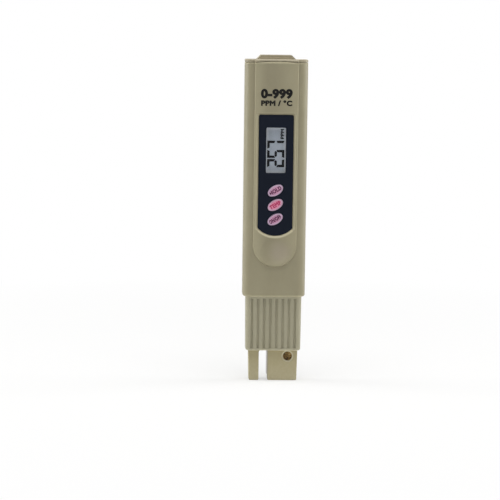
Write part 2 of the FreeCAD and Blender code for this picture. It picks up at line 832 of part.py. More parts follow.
def clip_profile():
    """The clip from the side: neck, round shoulder, and an arm that curves in to the case and out again."""
    outer = body_depth + clip_reach
    neck_top = hinge_z + clip_neck / 2
    neck_bottom = hinge_z - clip_neck / 2
    arm_top = neck_top - clip_shoulder
    inside = outer - clip_thickness
    round_in = clip_shoulder / 2

    def at(depth, z):
        return V(0, y_at(depth), z)

    curve = [(body_depth + gap, clip_tip_z + height) for height, gap in clip_gaps]
    curve.append((inside, neck_bottom - round_in))
    inner_curve = Part.BSplineCurve()
    inner_curve.interpolate([at(depth, z) for depth, z in curve])
    outer_points = [(depth + clip_thickness, z) for depth, z in curve[:-1]] + [(outer, arm_top)]
    outer_curve = Part.BSplineCurve()
    outer_curve.interpolate([at(depth, z) for depth, z in outer_points])
    turn = 1 - math.sqrt(0.5)
    shoulder = arc(at(outer, arm_top), at(outer - clip_shoulder * turn, neck_top - clip_shoulder * turn),
                   at(outer - clip_shoulder, neck_top))
    armpit = arc(at(inside - round_in, neck_bottom), at(inside - round_in * turn, neck_bottom - round_in * turn),
                 at(inside, neck_bottom - round_in))
    return Part.Wire([
        outer_curve.toShape(), shoulder,
        line(at(outer - clip_shoulder, neck_top), at(hinge_depth, neck_top)),
        line(at(hinge_depth, neck_top), at(hinge_depth, neck_bottom)),
        line(at(hinge_depth, neck_bottom), at(inside - round_in, neck_bottom)),
        armpit, inner_curve.toShape(),
        line(at(*curve[0]), at(*outer_points[0])),
    ])


def clip_plan():
    """The clip from behind: it tapers from its root to a round tip."""
    half_root = clip_root_width / 2
    half_tip = clip_tip_width / 2
    taper_top = hinge_z - clip_shoulder - clip_neck
    round_start = clip_tip_z + half_tip
    left = [V(-half_root, 0, tab_top), V(-half_root, 0, taper_top), V(-half_tip, 0, round_start)]
    right = [V(-point.x, point.y, point.z) for point in left]
    return Part.Wire([line(left[0], left[1]), line(left[1], left[2]),
                      arc(left[2], V(0, 0, clip_tip_z), right[2]),
                      line(right[2], right[1]), line(right[1], right[0]), line(right[0], left[0])])


def pocket_clip():
    """A tapering clip with a round root that snaps into the cap's bridge."""
    half_root = clip_root_width / 2
    body = Part.Face(clip_profile()).extrude(V(clip_root_width, 0, 0))
    body.translate(V(-half_root, 0, 0))
    plan = Part.Face(clip_plan()).extrude(V(0, FAR, 0))
    root = cylinder_x(clip_root_radius, hinge_depth, hinge_z, -half_root, half_root)
    return join([body.common(plan), root])


# ================================================================ probe head
def scallop_cutter(depth, outward):
    """Takes the flat off one face of the grip and leaves crowned ribs between hollow grooves."""
    rib = groove_pitch - groove_width
    z0 = grip_bottom + lip_height
    length = grip_length - lip_height - collar_height
    lean = grip_draft * (grip_length - lip_height) / grip_length
    y = y_at(depth) - outward * lean
    low = y - outward * rib_crown
    deep = y - outward * groove_depth
    clear = y + outward * OVER
    start = -(groove_pitch * (groove_count - 1) + groove_width) / 2
    end = -start
    edges = [line(V(start, clear, z0), V(start, low, z0))]
    for index in range(groove_count):
        x = start + index * groove_pitch
        groove_end = x + groove_width
        edges.append(arc(V(x, low, z0), V(x + groove_width / 2, deep, z0), V(groove_end, low, z0)))
        if index < groove_count - 1:
            edges.append(arc(V(groove_end, low, z0), V(groove_end + rib / 2, y, z0), V(groove_end + rib, low, z0)))
    edges += [line(V(end, low, z0), V(end, clear, z0)), line(V(end, clear, z0), V(start, clear, z0))]
    rise = V(0, outward * grip_draft * length / grip_length, length)
    return Part.Face(Part.Wire(edges)).extrude(rise)


def grip_solid():
    """The drafted grip with its softened lower edge and ribs on both faces."""
    grip = Part.makeLoft([section_wire(head_inset + grip_draft, grip_bottom), section_wire(head_inset, case_bottom)],
                         True, True)
    grip = grip.makeFillet(grip_round, edges_at_z(grip, grip_bottom))
    return grip.cut([scallop_cutter(tongue_rise + head_inset, -1), scallop_cutter(body_depth - head_inset, 1)])


def prong(x_inner, x_outer):
    """One prong, tapering on its outer side, with round lower corners."""
    lean = math.copysign(prong_draft, x_outer - x_inner)
    top = grip_bottom + head_floor / 2
    solid = outline_prism([(x_inner, top), (x_outer, top), (x_outer - lean, 0), (x_inner, 0)],
                          prong_near, prong_far)
    corners = [edge for edge in edges_along(solid, Y_AXIS) if abs(edge.BoundBox.ZMin) < 0.01]
    solid = solid.makeFillet(prong_round, corners)
    rim = edges_at_depth(solid, prong_near) + edges_at_depth(solid, prong_far)
    rim = [edge for edge in rim if edge.BoundBox.ZMin < grip_bottom]
    return solid.makeChamfer(prong_bevel, rim)


def sensor_duct(gap):
    """The sensor's round pocket and the duct that its leads run up, drawn in by a gap."""
    pocket = cylinder_y(sensor_hole_radius - gap, sensor_x, sensor_z, prong_near - OVER,
                        prong_near + sensor_hole_depth - gap)
    return join([pocket, cylinder_z(duct_radius - gap, sensor_x, middle_depth, sensor_z, cavity_floor + gap)])


def sensor_mouth():
    """The flared mouth of the sensor's pocket."""
    return Part.makeCone(sensor_mouth_radius, sensor_hole_radius, sensor_mouth_depth,
                         V(sensor_x, y_at(prong_near), sensor_z), Y_AXIS)


def electrode(face, back, slant):
    """A flat metal strip between two X along one side of the gap, reaching up into the case."""
    return outline_prism([(back, electrode_end_height), (face, electrode_end_height + slant),
                          (face, electrode_top_z), (back, electrode_top_z)],
                         middle_depth - electrode_width / 2, middle_depth + electrode_width / 2)


def left_electrode():
    """The electrode let into the left prong, level with its face."""
    return electrode(left_inner, left_inner - electrode_thickness, 0)


def right_electrode():
    """The electrode that stands a little proud of the right block."""
    face = right_inner - electrode_proud
    return electrode(face, face + electrode_thickness, electrode_slant)


def plug_ring(z, height, depth):
    """A ring to cut into the plug from outside."""
    ring = case_block(wall - OVER, z - height / 2, z + height / 2)
    return ring.cut(case_block(head_inset + depth, z - height, z + height))


def probe_head():
    """The moulded head: ribbed grip, two prongs, and the plug that the two shells close on."""
    plug = case_block(head_inset, case_bottom, plug_top)
    body = join([grip_solid(), plug, prong(left_inner, left_outer), prong(right_inner, right_outer)])
    web = [edge for edge in edges_along(body, Y_AXIS)
           if abs(edge.BoundBox.XMin - left_inner) < 0.01 and abs(edge.BoundBox.ZMin - grip_bottom) < 0.01]
    body = body.makeFillet(web_round, web)
    cavity = case_block(head_inset + head_wall, cavity_floor, plug_top + OVER)
    cutters = [cavity, plug_ring(bead_z, bead_height + 2 * bead_gap, bead_depth + bead_gap),
               plug_ring(seal_z, seal_height, seal_depth), sensor_duct(0), sensor_mouth(),
               left_electrode(), right_electrode()]
    return body.cut(cutters)


def head_seal():
    """A rubber ring in the plug's groove, bearing on the inside of the case."""
    ring = case_block(wall + seal_gap, seal_z - seal_height / 2, seal_z + seal_height / 2)
    return ring.cut(case_block(head_inset + seal_depth, seal_z - seal_height, seal_z + seal_height))


def electrode_leads():
    """Two short wires from the tops of the electrodes to the back of the board."""
    left = left_inner - electrode_thickness / 2
    right = right_inner - electrode_proud + electrode_thickness / 2
    return Part.makeCompound([cylinder_z(lead_radius, x, lead_depth, electrode_top_z, lead_top_z)
                              for x in (left, right)])


def sensor_lead(x):
    """A stiff lead that runs up the duct and then steps back past the board's lower edge."""
    half = sensor_lead_radius
    slope_top = plug_top
    slope_bottom = slope_top - lead_slope_height
    inner = middle_depth
    outer = board_back + half + resin_gap
    centre_line = [V(x, y_at(inner), sensor_z), V(x, y_at(inner), slope_bottom), V(x, y_at(outer), slope_top),
                   V(x, y_at(outer), lead_top_z)]
    side = [(point.y, point.z) for point in centre_line]
    front = [V(x - half, y - half, z) for y, z in side]
    back = [V(x - half, y + half, z) for y, z in reversed(side)]
    face = Part.Face(Part.makePolygon(front + back + front[:1]))
    return face.extrude(V(2 * half, 0, 0))


def temperature_sensor():
    """A thermistor: a round element on two square leads."""
    bead = cylinder_z(sensor_bead_radius, sensor_x, middle_depth, sensor_z - sensor_bead_radius,
                      sensor_z + sensor_bead_radius)
    leads = [sensor_lead(sensor_x + side * sensor_lead_offset) for side in (-1, 1)]
    return join([bead] + leads)


def sensor_resin():
    """The resin that fills the pocket round the bead, with a hollow front face."""
    face = prong_near + resin_recess
    hollow = Part.makeSphere(resin_hollow_radius, V(sensor_x, y_at(face + resin_hollow - resin_hollow_radius), sensor_z))
    fill = sensor_duct(resin_gap).cut([slab(-FAR, face), hollow, temperature_sensor()])
    return fill.common(box(-FAR, FAR, 0, FAR, 0, cavity_floor))


def head_potting():
    """The sealing compound in the bottom of the head's cavity."""
    fill = case_block(head_inset + head_wall, cavity_floor, cavity_floor + potting_height)
    return fill.cut([temperature_sensor(), left_electrode(), right_electrode()])


# ================================================================ the whole tester
def all_parts():
    """Every piece by its node's name."""
    makers = [front_case, rear_case, panel_overlay, display_window, lcd_glass, lcd_frame, contact_strips,
              key_switches, main_board, board_screws, controller_chip, crystal, board_components,
              trimmer_body, trimmer_rotor, button_cells, battery_holder, front_contact, rear_contact,
              battery_cap, pocket_clip, probe_head, head_seal, left_electrode, right_electrode,
              electrode_leads, temperature_sensor, sensor_resin, head_potting]
    parts = {maker.__name__: maker() for maker in makers}
    for name, z in key_zs.items():
        parts[name + "_key"] = key(z)
        parts[name + "_plunger"] = plunger(z)
    return parts


os.makedirs("parts", exist_ok=True)
for node, shape in all_parts().items():
    shape.exportStep("parts/" + node + ".step")
    print(node, "solids", len(shape.Solids), "volume", round(shape.Volume, 2), "valid", shape.isValid())
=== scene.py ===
# %% [markdown]
# # Dressing a pen-shaped water tester
#
# The tester is a flat pen of moulded plastic: a case of two shells, a battery cap with a pocket clip, a
# ribbed probe head with two prongs, a small display and three soft keys. Its rigid pieces come from a
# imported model, which already has every size and joint. This lesson gives each piece its finish, and adds
# what only shows as a skin: lit display segments, soft key tops and print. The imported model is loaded
# first, because every place below is read from it.

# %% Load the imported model
import math

import bmesh
import bpy
from mathutils import Matrix, Quaternion, Vector


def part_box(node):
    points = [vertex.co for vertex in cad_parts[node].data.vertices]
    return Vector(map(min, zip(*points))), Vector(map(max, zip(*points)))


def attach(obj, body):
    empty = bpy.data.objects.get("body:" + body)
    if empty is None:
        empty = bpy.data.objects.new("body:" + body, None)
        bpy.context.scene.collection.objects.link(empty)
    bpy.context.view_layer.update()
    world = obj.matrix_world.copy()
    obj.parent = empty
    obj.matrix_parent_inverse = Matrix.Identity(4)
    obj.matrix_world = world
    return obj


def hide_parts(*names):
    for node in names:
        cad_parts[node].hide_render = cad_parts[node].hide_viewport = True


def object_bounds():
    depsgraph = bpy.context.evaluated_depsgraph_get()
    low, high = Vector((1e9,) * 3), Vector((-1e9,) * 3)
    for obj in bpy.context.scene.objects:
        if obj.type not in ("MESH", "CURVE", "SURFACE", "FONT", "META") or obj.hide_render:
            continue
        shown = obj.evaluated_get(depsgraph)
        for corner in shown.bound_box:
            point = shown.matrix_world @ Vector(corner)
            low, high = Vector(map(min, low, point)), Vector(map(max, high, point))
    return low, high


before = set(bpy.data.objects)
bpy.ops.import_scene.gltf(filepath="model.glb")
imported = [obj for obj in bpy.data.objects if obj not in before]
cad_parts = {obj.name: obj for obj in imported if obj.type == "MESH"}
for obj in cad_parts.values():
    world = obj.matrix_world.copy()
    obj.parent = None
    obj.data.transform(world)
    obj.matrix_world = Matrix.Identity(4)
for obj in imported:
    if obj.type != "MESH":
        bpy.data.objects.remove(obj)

MM = 0.001
cad_low, cad_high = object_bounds()
print("CAD box in mm:", [round(side / MM, 2) for side in cad_high - cad_low])

# %% [markdown]
# ## The camera
#
# A long lens from a little under a metre keeps the pen's sides nearly parallel. The camera stands slightly
# to the left and slightly above, and it is rolled by less than a degree, so that the pen leans as a thing
# held in the fingers does. The aim is moved off the pen by turning the camera, not by shifting the lens.

# %% Camera
view_azimuth = math.radians(-3.0)
view_elevation = math.radians(6.0)
view_distance = 0.90
aim_offset = Vector((-11.3 * MM, -15.05 * MM, 0))
roll = math.radians(0.705)

middle = Vector((0, -3 * MM, (cad_low.z + cad_high.z) / 2))
backwards = Vector((math.sin(view_azimuth) * math.cos(view_elevation),
                    -math.cos(view_azimuth) * math.cos(view_elevation), math.sin(view_elevation)))
camera_data = bpy.data.cameras.new("camera")
camera_data.sensor_width = 36.0
camera_data.lens = 136.7
camera_data.clip_start = 0.05
camera = bpy.data.objects.new("camera", camera_data)
bpy.context.collection.objects.link(camera)
camera.location = middle + backwards * view_distance
straight = (-backwards).to_track_quat("-Z", "Y")
aim = middle + straight @ aim_offset
camera.rotation_mode = "QUATERNION"
camera.rotation_quaternion = (aim - camera.location).to_track_quat("-Z", "Y") @ Quaternion((0, 0, 1), roll)
bpy.context.scene.camera = camera
print("camera at", [round(c, 3) for c in camera.location])

# %% [markdown]
# ## A small language for finishes
#
# A finish is a tree of shader nodes. Placing nodes one by one hides the idea, so a wire from a node is
# wrapped in a small class whose plus, minus and times signs add the Math nodes. A line such as
# `0.5 + 0.1 * grain` then reads as what it does. Every other node comes from one method that takes the
# node's type, its settings and the values or wires of its sockets.

# %% Wires and finishes
class Wire:
    """A socket that arithmetic can be written with."""

    def __init__(self, finish, socket):
        self.finish = finish
        self.socket = socket

    def __add__(self, other):
        return self.finish.maths("ADD", self, other)

    def __sub__(self, other):
        return self.finish.maths("SUBTRACT", self, other)

    def __rsub__(self, other):
        return self.finish.maths("SUBTRACT", other, self)

    def __mul__(self, other):
        return self.finish.maths("MULTIPLY", self, other)

    __radd__ = __add__
    __rmul__ = __mul__

    def __truediv__(self, other):
        return self.finish.maths("DIVIDE", self, other)

    def held(self):
        """The same number, held between 0 and 1."""
        return self.finish.maths("ADD", self, 0.0, clamp=True)


class Finish:
    """One material, built node by node."""

    def __init__(self, name):
        self.material = bpy.data.materials.new(name)
        self.material.use_nodes = True
        self.nodes = self.material.node_tree.nodes
        self.links = self.material.node_tree.links
        self.nodes.clear()

    def node(self, kind, settings=None, sockets=None, stops=None):
        """Adds a node: settings first, then the stops of a ramp, then values or wires."""
        made = self.nodes.new(kind)
        for setting, value in (settings or {}).items():
            setattr(made, setting, value)
        if stops:
            ramp = made.color_ramp
            while len(ramp.elements) < len(stops):
                ramp.elements.new(0.5)
            for element, (place, shade) in zip(ramp.elements, stops):
                element.position = place
                element.color = (*shade, 1) if isinstance(shade, tuple) else (shade, shade, shade, 1)
        for socket, value in (sockets or {}).items():
            if isinstance(value, Wire):
                self.links.new(value.socket, made.inputs[socket])
            else:
                made.inputs[socket].default_value = value
        return made

    def wire(self, kind, output=0, **parts):
        """A node's output as a wire."""
        return Wire(self, self.node(kind, **parts).outputs[output])

    def maths(self, operation, first, second, clamp=False):
        settings = {"operation": operation, "use_clamp": clamp}
        return self.wire("ShaderNodeMath", settings=settings, sockets={0: first, 1: second})

    def place(self):
        """Object coordinates, in metres."""
        return self.wire("ShaderNodeTexCoord", output=3)

    def shifted(self, centre, scale=(1, 1, 1)):
        """Object coordinates measured from a point on the piece, then stretched."""
        back = [-c * s for c, s in zip(centre, scale)]
        return self.wire("ShaderNodeMapping",
                         sockets={"Vector": self.place(), "Location": back, "Scale": scale})

    def noise(self, size, detail=2.0, where=None):
        """Soft noise whose blots are about as wide as a size in metres."""
        sockets = {"Vector": where or self.place(), "Scale": 0.5 / size, "Detail": detail}
        return self.wire("ShaderNodeTexNoise", sockets=sockets)

    def mix(self, factor, first, second):
        """A blend of two colours, each a wire or a colour."""
        pair = [c if isinstance(c, Wire) else (*c, 1) for c in (first, second)]
        return self.wire("ShaderNodeMix", output=2, settings={"data_type": "RGBA"},
                         sockets={0: factor, 6: pair[0], 7: pair[1]})

    def shaded(self, colour, low, high, factor):
        """One colour, darker or lighter as the factor goes from 0 to 1."""
        return self.mix(factor, tuple(c * low for c in colour), tuple(c * high for c in colour))

    def scaled(self, colour, share):
        """A colour made darker or lighter by a wire."""
        return self.wire("ShaderNodeVectorMath", settings={"operation": "SCALE"},
                         sockets={0: colour, "Scale": share})

    def bump(self, height, depth, strength=1.0, over=None):
        """A normal from a height; another normal may lie under it."""
        sockets = {"Height": height, "Distance": depth, "Strength": strength}
        if over:
            sockets["Normal"] = over
        return self.wire("ShaderNodeBump", sockets=sockets)

    def nook(self, reach, inside=False):
        """1 deep in a crease, 0 in the open; from the inside it marks outer edges instead."""
        open_share = self.wire("ShaderNodeAmbientOcclusion", output=1,
                               settings={"samples": 10, "only_local": True, "inside": inside},
                               sockets={"Distance": reach})
        return 1.0 - open_share

    def surface(self, **sockets):
        """The Principled shader on the output; names with spaces are written with underscores."""
        names = {name.replace("_", " "): value for name, value in sockets.items()}
        shader = self.wire("ShaderNodeBsdfPrincipled", sockets=names)
        self.node("ShaderNodeOutputMaterial", sockets={"Surface": shader})
        return self.material


def tint(red, green, blue):
    """A colour given as a maker's chart gives it, 0 to 255, made linear for the shader."""
    shares = [c / 255 for c in (red, green, blue)]
    return tuple(s / 12.92 if s <= 0.04045 else ((s + 0.055) / 1.055) ** 2.4 for s in shares)


print("finish tools are ready")

# %% [markdown]
# ## Floor and backdrop
#
# The pen stands on its prongs on a pale floor. A floor that is only lit turns grey and shows a horizon, so
# for the camera it glows a little, more so further from the pen, until it meets the white behind it. Near
# the pen the lit part is strong enough to keep a soft shadow.

# %% Floor
floor_finish = Finish("pale floor")
from_pen = floor_finish.wire("ShaderNodeVectorMath", output=1, settings={"operation": "LENGTH"},
                             sockets={0: floor_finish.place()})
glow_share = (0.50 + 1.4 * from_pen).held()
path = floor_finish.node("ShaderNodeLightPath")
seen = (Wire(floor_finish, path.outputs["Is Camera Ray"]) + Wire(floor_finish, path.outputs["Is Glossy Ray"])
        + Wire(floor_finish, path.outputs["Is Transmission Ray"])).held()
lit = floor_finish.wire("ShaderNodeBsdfDiffuse", sockets={"Color": (0.86, 0.86, 0.85, 1)})
glow = floor_finish.wire("ShaderNodeEmission", sockets={"Color": (1, 1, 1, 1), "Strength": 1.0})
floor_shader = floor_finish.wire("ShaderNodeMixShader", sockets={0: seen * glow_share, 1: lit, 2: glow})
floor_finish.node("ShaderNodeOutputMaterial", sockets={"Surface": floor_shader})

floor_mesh = bpy.data.meshes.new("floor")
shape = bmesh.new()
bmesh.ops.create_circle(shape, cap_ends=True, radius=6.0, segments=64)
bmesh.ops.translate(shape, verts=shape.verts, vec=(0, 0, cad_low.z - 0.05 * MM))
shape.to_mesh(floor_mesh)
shape.free()
floor_mesh.materials.append(floor_finish.material)
floor = bpy.data.objects.new("floor", floor_mesh)
bpy.context.collection.objects.link(floor)
print("floor at z", round(cad_low.z, 5))

# %% [markdown]
# ## Light
#
# Two tall soft boxes stand left and right, so the rounded sides of the case shine more than its flat front.
# A broad soft box almost overhead picks out every edge that faces up, and a dimmer one in front fills the
# front and the display. The world is white for the camera and dimmer as a light.

# %% Lights and world
def soft_box(name, place, size, power):
    """A rectangular lamp that faces the middle of the pen."""
    data = bpy.data.lights.new(name, "AREA")
    data.shape = "RECTANGLE"
    data.size, data.size_y = size
    data.energy = power
    lamp = bpy.data.objects.new(name, data)
    bpy.context.collection.objects.link(lamp)
    lamp.location = place
    lamp.rotation_mode = "QUATERNION"
    lamp.rotation_quaternion = (middle - Vector(place)).to_track_quat("-Z", "Y")
    return lamp


soft_box("left soft box", (-0.85, 0.15, 0.15), (0.35, 0.8), 5.8)
soft_box("right soft box", (0.85, 0.13, 0.15), (0.35, 0.8), 5.8)
soft_box("top soft box", (0.0, -0.14, 1.05), (0.9, 0.7), 9.5)
soft_box("front soft box", (0.10, -1.30, 0.45), (0.7, 0.6), 2.5)

world = bpy.data.worlds.new("studio")
world.use_nodes = True
bpy.context.scene.world = world
sky = world.node_tree
sky.nodes.clear()
light_path = sky.nodes.new("ShaderNodeLightPath")
looked_at = light_path.outputs["Is Camera Ray"]
for ray in ("Is Glossy Ray", "Is Transmission Ray"):
    either = sky.nodes.new("ShaderNodeMath")
    either.operation = "MAXIMUM"
    sky.links.new(looked_at, either.inputs[0])
    sky.links.new(light_path.outputs[ray], either.inputs[1])
    looked_at = either.outputs[0]
strength = sky.nodes.new("ShaderNodeMapRange")
strength.inputs["To Min"].default_value = 0.14
strength.inputs["To Max"].default_value = 1.0
sky.links.new(looked_at, strength.inputs["Value"])
sky_light = sky.nodes.new("ShaderNodeBackground")
sky_light.inputs["Color"].default_value = (1, 1, 1, 1)
sky.links.new(strength.outputs[0], sky_light.inputs["Strength"])
sky_output = sky.nodes.new("ShaderNodeOutputWorld")
sky.links.new(sky_light.outputs[0], sky_output.inputs[0])
bpy.context.scene.view_settings.view_transform = "Standard"

# %% [markdown]
# ## Moulded plastic
#
# Case, cap, clip and head are moulded in olive-beige plastic from a lightly sparked steel tool. Such a
# surface has a fine even grain, faint clouds where the melt cooled unevenly, and faint lines along the
# flow. Grain goes into the bump and the gloss; the clouds and lines move the colour by a few parts in a
# hundred. Creases get painted shade, found by an occlusion node. Outer edges are paler, partly rubbed wear
# and partly painted highlight; the same node finds them when it looks from the inside, and listed ends of a
# piece get a painted highlight too. The raised tongue gets painted light: darker in its middle, paler at its
# sides and at its low end.
#
# Case and head also have details of their own, each added by a small function: a painted highlight round
# the pocket of the dark sheet, a painted sheen in the dish, a painted highlight round the sensor's mouth,
# and a painted warm cast of light on the prongs. All of it is placed by Object coordinates, so it stays on
# the piece when a joint moves. The heights it needs are read first.

# %% Heights and centres for the finishes
case_low, case_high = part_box("rear_case")
head_low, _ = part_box("probe_head")
prong_height = 14.5 * MM
grip_low_z = head_low.z + prong_height
tongue_end_height = 14.2 * MM
tongue_end_z = case_low.z + tongue_end_height
resin_low, resin_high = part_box("sensor_resin")
sensor_mouth = Vector(((resin_low.x + resin_high.x) / 2, resin_low.y,
                       resin_low.z + (resin_high.x - resin_low.x) / 2))
sheet_low, sheet_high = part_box("panel_overlay")
sheet_half = (sheet_high.x - sheet_low.x) / 2
sheet_corner_z = min(v.co.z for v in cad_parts["panel_overlay"].data.vertices
                     if v.co.x > sheet_half - 0.05 * MM)
sheet_arc = (sheet_half ** 2 / (sheet_corner_z - sheet_low.z) + sheet_corner_z - sheet_low.z) / 2
dish_radius = 6.4 * MM
# where the painted sheen in the dish is centred
sheen_aside, sheen_rise = 2.5 * MM, 7.2 * MM
dish_centre = Vector((sheen_aside, cad_low.y, tongue_end_z + sheen_rise))
print("sheet half width", round(sheet_half / MM, 2), "foot radius", round(sheet_arc / MM, 2))

# %% Moulded plastic
def moulded_plastic(name, colour, deep_colour, gloss=0.46, depth=0.50, crease_reach=1.8 * MM,
                    highlit_ends=(), details=None):
    """Grain, clouds, painted crease shade, edge wear and painted highlights; a highlit end is a height, a
    reach and a strength.
    """
    finish = Finish(name)
    clouds = finish.noise(6 * MM, 3.0)
    flow = finish.noise(3 * MM, 2.0, finish.shifted((0, 0, 0), (1.0, 1.0, 0.12)))
    grain = finish.noise(0.16 * MM, 2.0)
    specks = finish.noise(0.5 * MM, 1.0)
    mottle = (0.45 * clouds + 0.30 * flow + 0.15 * grain + 0.10 * specks).held()
    spot = finish.node("ShaderNodeSeparateXYZ", sockets={0: finish.place()})
    across, backward, upward = (Wire(finish, spot.outputs[axis]) for axis in "XYZ")
    # The next lines paint light on the tongue's front: paler in all, paler still at its low end, with painted
    # shade in its middle.
    tongue_middle_shade = finish.wire("ShaderNodeValToRGB", sockets={0: across / (20 * MM) + 0.5},
                          stops=[(0.06, 0.0), (0.28, 1.0), (0.47, 1.0), (0.98, 0.0)])
    on_tongue = ((cad_low.y + 0.6 * MM - backward) / (0.4 * MM)).held()
    low_end = (1.0 - (upward - tongue_end_z) / (6 * MM)).held()
    share = 1.0 + on_tongue * (0.15 + 0.20 * low_end - 0.22 * tongue_middle_shade)
    base = finish.scaled(finish.mix(mottle, deep_colour, colour), share)
    # painted shade in creases, found by an occlusion node
    crease_shade = (finish.nook(crease_reach) * (0.75 + 0.5 * clouds)).held()
    crease_shaded = finish.mix((depth * crease_shade).held(), base, tuple(0.42 * c for c in deep_colour))
    # paler outer edges, found from the inside: partly rubbed wear, partly painted highlight
    edges = ((finish.nook(1.0 * MM, inside=True) - 0.56) * (1.6 + 1.2 * (specks - 0.5))).held()
    wear_and_highlight = edges * (1.0 - 0.75 * on_tongue)
    # each listed end gets a painted highlight along it
    for height, reach, strength in highlit_ends:
        near = (1.0 - finish.maths("ABSOLUTE", upward - height, 0.0) / reach).held()
        wear_and_highlight = finish.maths("MAXIMUM", wear_and_highlight, near * (strength * (0.6 + 0.8 * specks)))
    if details:
        crease_shaded, wear_and_highlight = details(finish, crease_shaded, wear_and_highlight, (across, backward, upward))
    # the painted highlights and the wear lighten the colour here
    wear_and_painted_light = finish.mix(wear_and_highlight, crease_shaded, tuple(min(1.0, 1.45 * c) for c in colour))
    rough = gloss + 0.10 * (clouds - 0.5) + 0.12 * (grain - 0.5) - 0.10 * wear_and_highlight
    relief = finish.bump(0.8 * grain + 0.2 * specks, 0.012 * MM, 0.55)
    return finish.surface(Base_Color=wear_and_painted_light, Roughness=rough, Normal=relief, Specular_IOR_Level=0.35)


# %% Details of case and head
def distance(finish, centre):
    """How far a point of the face is from a centre, seen from the front."""
    return finish.wire("ShaderNodeVectorMath", output=1, settings={"operation": "LENGTH"},
                       sockets={0: finish.shifted(centre, (1, 0, 1))})


def case_details(finish, colour, wear_and_highlight, where):
    """A painted highlight round the sheet's pocket, brightest at its foot, and a painted sheen in the dish.
    """
    across, backward, upward = where
    lip_middle, lip_reach = 0.55 * MM, 0.75 * MM
    aside = finish.maths("ABSOLUTE", across, 0.0) - sheet_half
    over = upward - sheet_high.z
    arc_z = sheet_low.z + sheet_arc
    below = finish.maths("MINIMUM", upward - arc_z, 0.0)
    from_arc = finish.maths("SQRT", across * across + below * below, 0.0) - sheet_arc
    outside = finish.maths("MAXIMUM", finish.maths("MAXIMUM", aside, from_arc), over)
    # painted highlight on the bevel round the sheet's pocket, strongest at its foot and faint along its top
    lip_highlight = (1.3 - finish.maths("ABSOLUTE", outside - lip_middle, 0.0) / lip_reach).held()
    foot = (1.0 - (upward - sheet_low.z - 2 * MM) / (3 * MM)).held()
    in_front = ((cad_low.y + 2.2 * MM - backward) / (0.4 * MM)).held()
    above = (over / (0.3 * MM)).held()
    wear_and_highlight = finish.maths("MAXIMUM", wear_and_highlight, lip_highlight * (0.55 + 0.45 * foot - 0.45 * above) * in_front)
    # painted sheen: inside the dish the colour is mixed towards a pale grey, as a reflection would make it
    dish_sheen = ((dish_radius - distance(finish, dish_centre)) / (4 * MM)).held()
    return finish.mix(dish_sheen * in_front * 0.32, colour, tint(176, 162, 150)), wear_and_highlight


def head_details(finish, colour, wear_and_highlight, where):
    """A painted highlight round the sensor's mouth, and a painted warm cast of light on the prongs."""
    _, backward, upward = where
    ring_radius, ring_reach = 2.5 * MM, 0.55 * MM
    off_ring = finish.maths("ABSOLUTE", distance(finish, sensor_mouth) - ring_radius, 0.0)
    # painted highlight on the chamfer round the sensor's mouth
    ring = (1.0 - off_ring / ring_reach).held()
    below_grip = ((grip_low_z - upward) / (0.2 * MM)).held()
    face_only = ((sensor_mouth.y + 0.5 * MM - backward) / (0.2 * MM)).held()
    # painted warm cast of light: below the grip the colour is mixed towards a warmer, darker tint
    painted_warm_cast = finish.mix(below_grip * 0.75, colour, tint(166, 153, 110))
    return painted_warm_cast, finish.maths("MAXIMUM", wear_and_highlight, ring * below_grip * face_only)


# %% Make the three plastics
# Each end below gets a painted highlight along it: the case's bottom and top edges, a band near the cap's
# top, the grip's lower lip, and the prongs, paler towards their tips.
case_ends = [(case_low.z, 1.1 * MM, 0.9), (case_high.z - 0.45 * MM, 0.9 * MM, 1.0)]
cap_ends = [(cad_high.z - 1.2 * MM, 1.1 * MM, 0.55)]
head_ends = [(grip_low_z + 0.15 * MM, 0.55 * MM, 0.8), (head_low.z, 17 * MM, 0.35)]
case_plastic = moulded_plastic("case plastic", tint(165, 158, 131), tint(135, 128, 102), depth=0.35,
                               highlit_ends=case_ends, details=case_details)
# the cap's colour is set a little lighter than the case's, painted light that offsets the shade on its
# set-back tab
cap_plastic = moulded_plastic("cap plastic", tint(168, 159, 135), tint(138, 129, 106), depth=0.12,
                              highlit_ends=cap_ends)
head_plastic = moulded_plastic("head plastic", tint(178, 173, 149), tint(148, 143, 119), 0.42, depth=0.45,
                               crease_reach=1.2 * MM, highlit_ends=head_ends, details=head_details)
print("plastics:", case_plastic.name, cap_plastic.name, head_plastic.name)

# %% [markdown]
# ## The printed sheet, the lens and the display
#
# The dark sheet round the display is printed on its back and has a finely textured front. The lens over the
# display is clear, so it is a thin skin that lets nearly everything through and keeps its gloss. The
# display's glass is a flat grey with a slight cast of blue, because its polariser is matt. Towards its
# edges the glass is painted lighter, a painted highlight that offsets the shade of the well it lies in.

# %% Sheet, lens and display
def printed_sheet():
    finish = Finish("printed sheet")
    weave = finish.noise(0.12 * MM, 2.0)
    clouds = finish.noise(4 * MM, 3.0)
    base = finish.shaded(tint(18, 24, 36), 0.80, 1.25, (0.7 * clouds + 0.3 * weave).held())
    rough = 0.40 + 0.14 * (weave - 0.5) + 0.06 * (clouds - 0.5)
    return finish.surface(Base_Color=base, Roughness=rough, Normal=finish.bump(weave, 0.01 * MM, 0.5),
                          Specular_IOR_Level=0.07)


def clear_lens():
    finish = Finish("clear lens")
    haze = finish.noise(1.5 * MM, 2.0)
    return finish.surface(Base_Color=finish.shaded((0.05, 0.055, 0.06), 0.95, 1.05, haze),
                          Roughness=0.05 + 0.05 * haze, Alpha=0.06 + 0.04 * haze,
                          Specular_IOR_Level=0.12)


